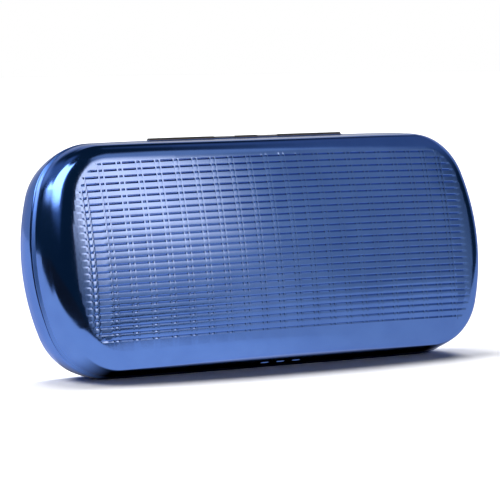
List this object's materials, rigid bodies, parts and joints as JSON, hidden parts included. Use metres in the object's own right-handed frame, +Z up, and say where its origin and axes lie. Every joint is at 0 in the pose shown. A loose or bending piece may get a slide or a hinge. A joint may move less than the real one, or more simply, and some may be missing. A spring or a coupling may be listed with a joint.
{
  "type": "glasses case",
  "caption": "Hard hinged glasses case: two blue anodised pressed aluminium shells with trays, foam and velour lining, and a sprung barrel hinge along one long edge.",
  "frame": {"origin": "centre of the closed case's bounding box in plan, at the floor that its long front edge stands on", "axes": "+X along the case's length, +Y from the lid's face to the base's back, +Z up, with the hinge on top; the seam leans back 10 degrees from upright"},
  "size_m": [0.158, 0.0468, 0.0712],
  "materials": {
    "anodised_shell": "glossy blue anodised, pressed sheet",
    "moulded_tray": "moulded black plastic, fine grain",
    "foam": "closed-cell foam sheet",
    "velour": "dark short-pile velour",
    "hinge_steel": "nickel-plated rolled steel",
    "spring_steel": "spring wire",
    "rivet_aluminium": "anodised with the shells"
  },
  "bodies": {
    "base": {"base_shell": "anodised_shell", "base_tray": "moulded_tray", "base_foam_pad": "foam", "base_lining": "velour", "base_hinge_leaf": "hinge_steel", "hinge_pin": "hinge_steel", "left_hinge_spring": "spring_steel", "right_hinge_spring": "spring_steel", "base_leaf_rivets": "rivet_aluminium"},
    "lid": {"lid_shell": "anodised_shell", "lid_tray": "moulded_tray", "lid_foam_pad": "foam", "lid_lining": "velour", "lid_hinge_leaf": "hinge_steel", "lid_leaf_rivets": "rivet_aluminium"}
  },
  "joints": [
    {"name": "lid_hinge", "type": "hinge", "parent": "base", "child": "lid", "pos_m": [0, 0.00571, 0.07041], "axis": [-1, 0, 0], "range_deg": [0, 120], "stiffness_Nm_per_rad": 0.03, "springref_deg": -74.48}
  ]
}
